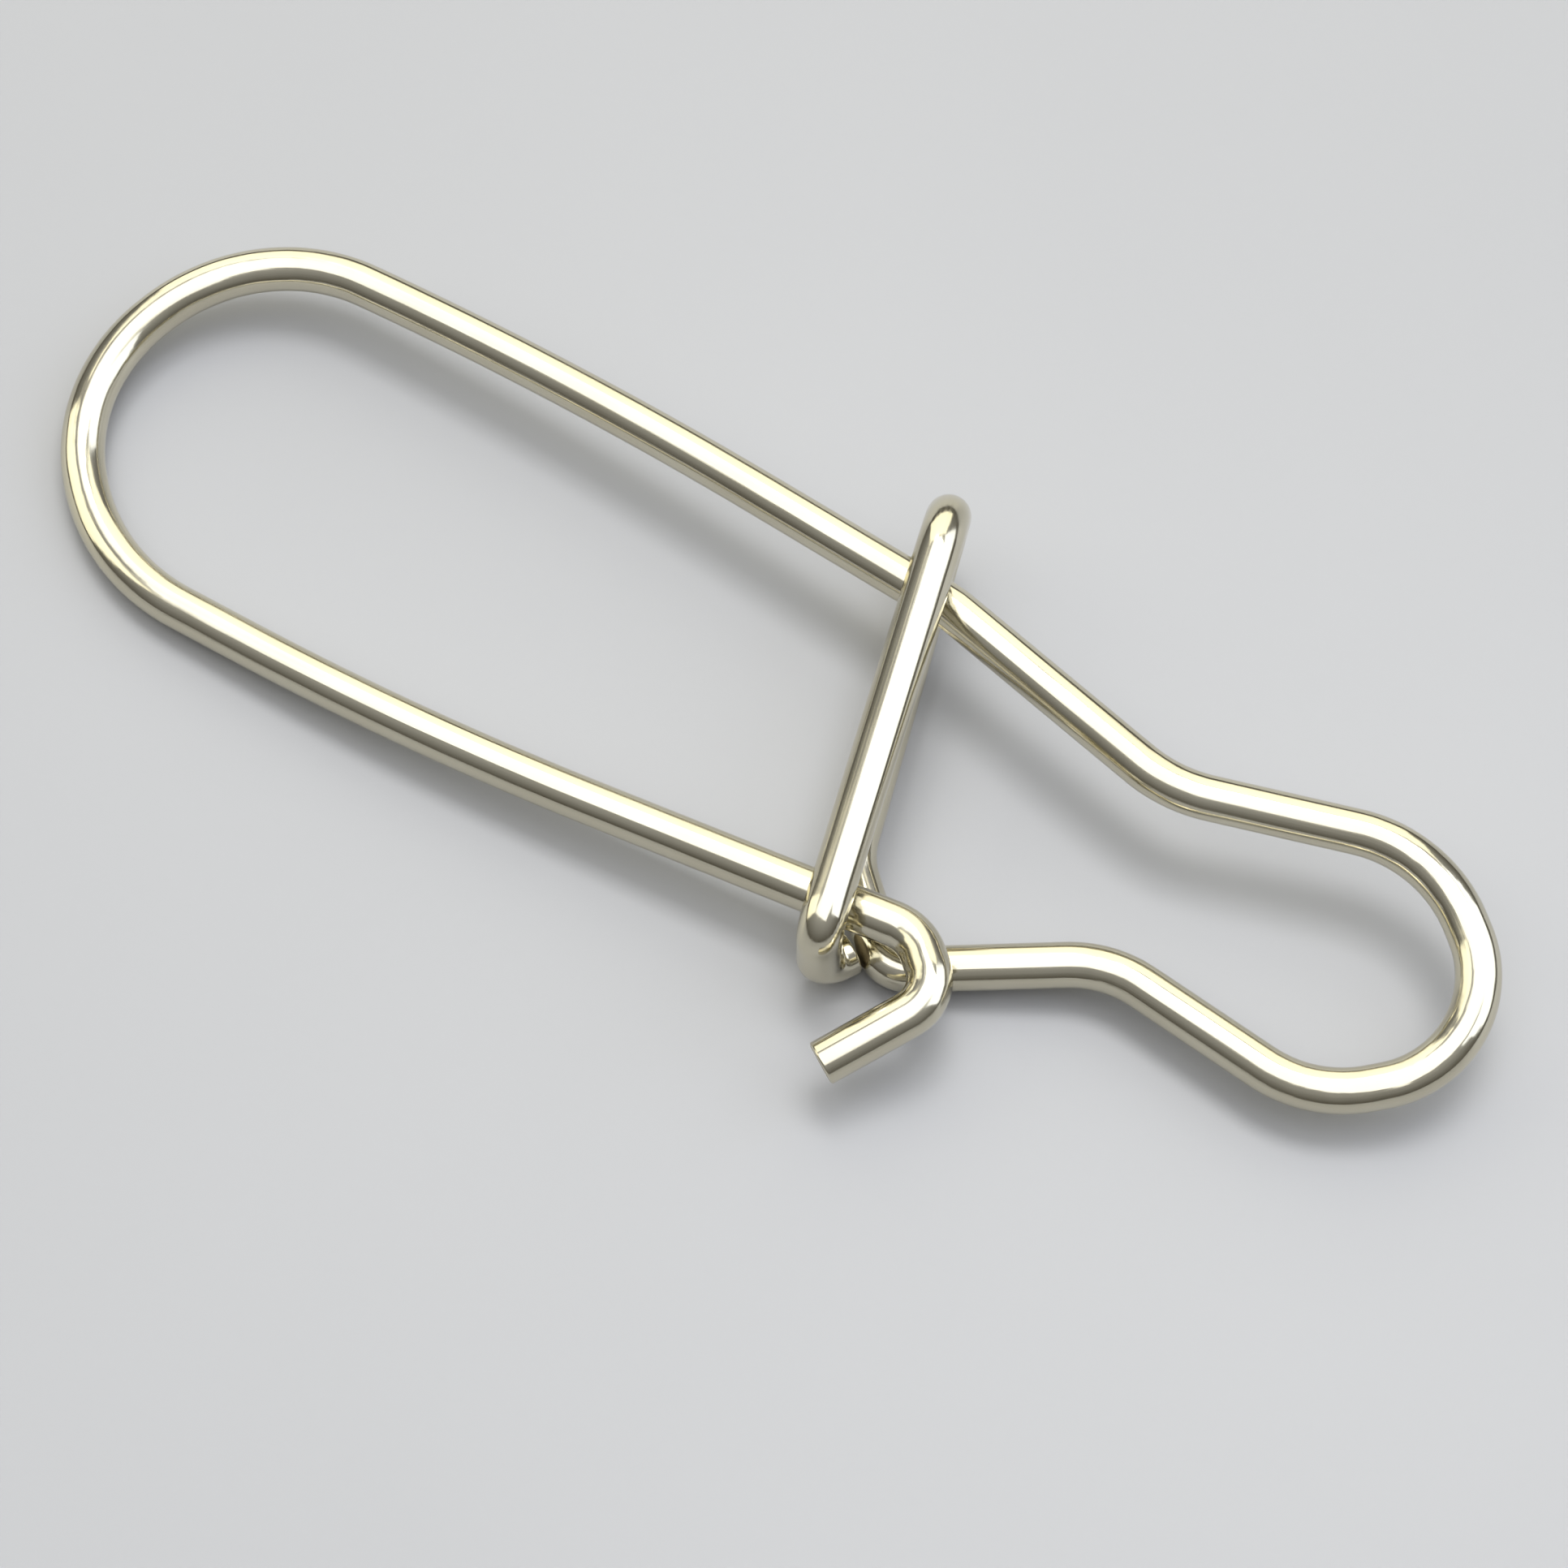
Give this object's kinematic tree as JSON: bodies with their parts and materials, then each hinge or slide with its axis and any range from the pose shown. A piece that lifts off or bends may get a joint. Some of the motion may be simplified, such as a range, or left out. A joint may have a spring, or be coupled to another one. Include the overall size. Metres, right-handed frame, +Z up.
{
  "type": "fishing snap",
  "caption": "Lure snap bent from one spring wire: a long loop, a line eye, and a ring round the loop's legs that a hook on the free leg latches over.",
  "frame": {"origin": "on the table under the middle of the snap's bounding box", "axes": "+Z up from the table that the snap lies on, +X along the snap from the big loop to the line eye, +Y from the free leg to the fixed leg"},
  "size_m": [0.0351, 0.0132, 0.0039],
  "materials": {
    "plated_wire": "bright nickel plate over drawn spring wire, warm and glossy, with fine lengthwise drawing lines"
  },
  "bodies": {
    "root": {"snap_wire": "plated_wire"}
  },
  "joints": []
}
